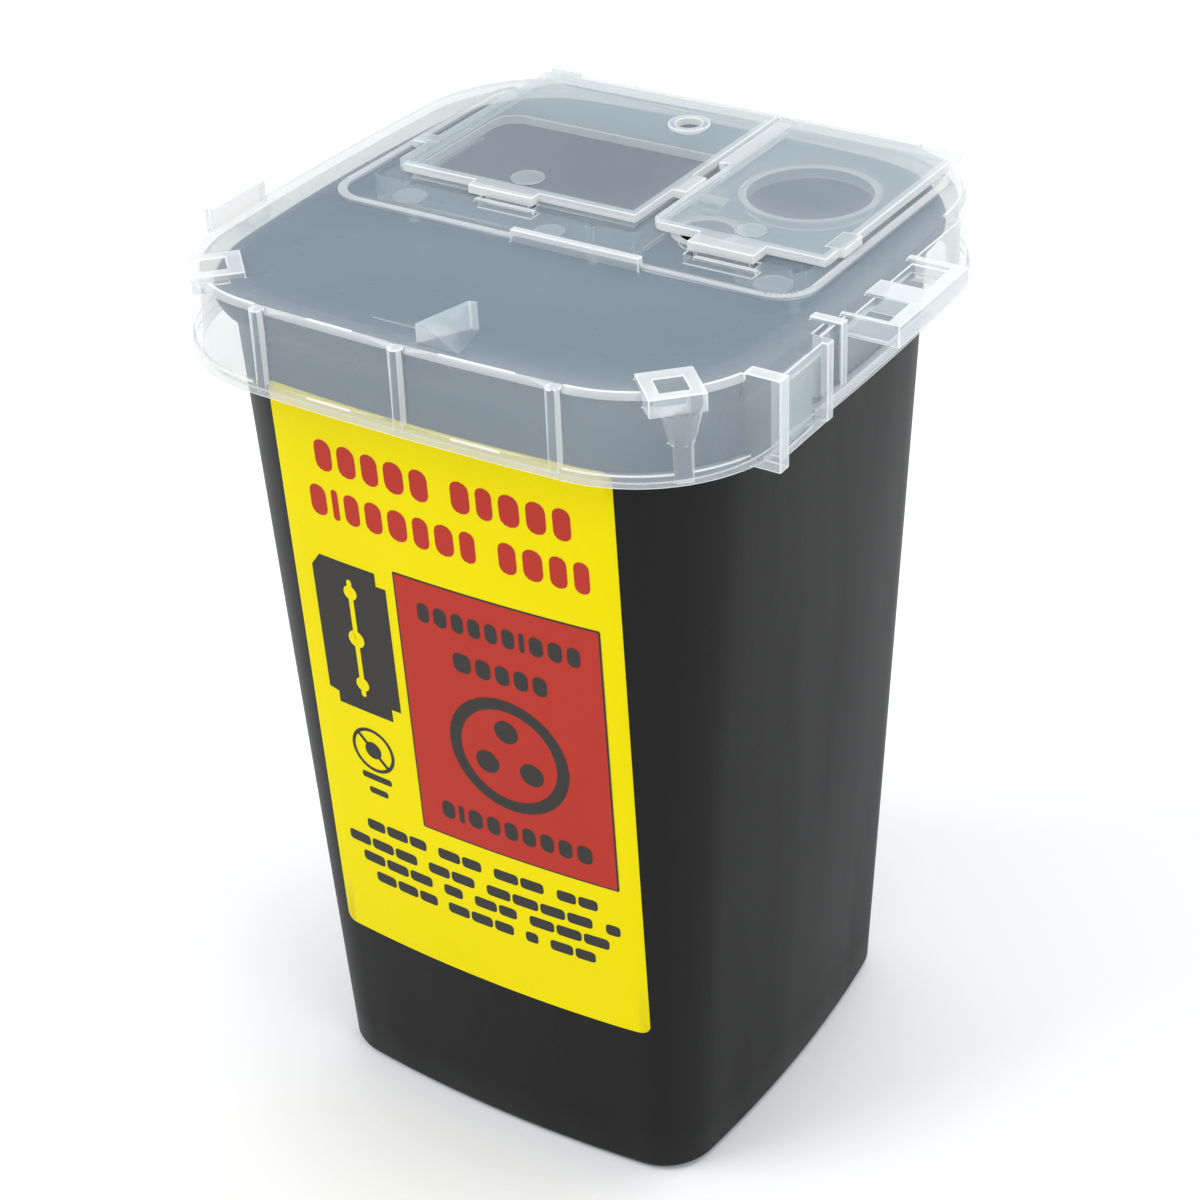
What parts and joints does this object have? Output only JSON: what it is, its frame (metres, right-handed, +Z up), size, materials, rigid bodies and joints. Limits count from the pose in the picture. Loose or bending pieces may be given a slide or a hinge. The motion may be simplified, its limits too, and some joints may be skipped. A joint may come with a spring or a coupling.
{
  "type": "sharps container",
  "caption": "Tall tapered square sharps bin with a translucent lift-off lid, two hinged drop flaps, side guide wing and a front label.",
  "frame": {"origin": "centre of the base, on the surface it stands on", "axes": "+Z up, the label faces -Y, the lid's pierced wing is on +X"},
  "size_m": [0.1183, 0.109, 0.1698],
  "materials": {
    "black_plastic": "satin, fine moulded grain",
    "label_sheet": "printed film, semi-gloss",
    "clear_lid_plastic": "translucent moulded polypropylene",
    "clear_flap_plastic": "translucent moulded polypropylene"
  },
  "bodies": {
    "container": {"container_tub": "black_plastic", "front_label": "label_sheet"},
    "lid": {"lid_shell": "clear_lid_plastic"},
    "large_flap": {"large_flap": "clear_flap_plastic"},
    "small_flap": {"small_flap": "clear_flap_plastic"}
  },
  "joints": [
    {"name": "lid_lift", "type": "slide", "parent": "container", "child": "lid", "axis": [0, 0, 1], "range_m": [0, 0.06]},
    {"name": "large_flap_hinge", "type": "hinge", "parent": "lid", "child": "large_flap", "pos_m": [-0.0147, 0.0477, 0.16595], "axis": [-1, 0, 0], "range_deg": [0, 110]},
    {"name": "small_flap_hinge", "type": "hinge", "parent": "lid", "child": "small_flap", "pos_m": [0.02745, 0.0477, 0.16595], "axis": [-1, 0, 0], "range_deg": [0, 110]}
  ]
}
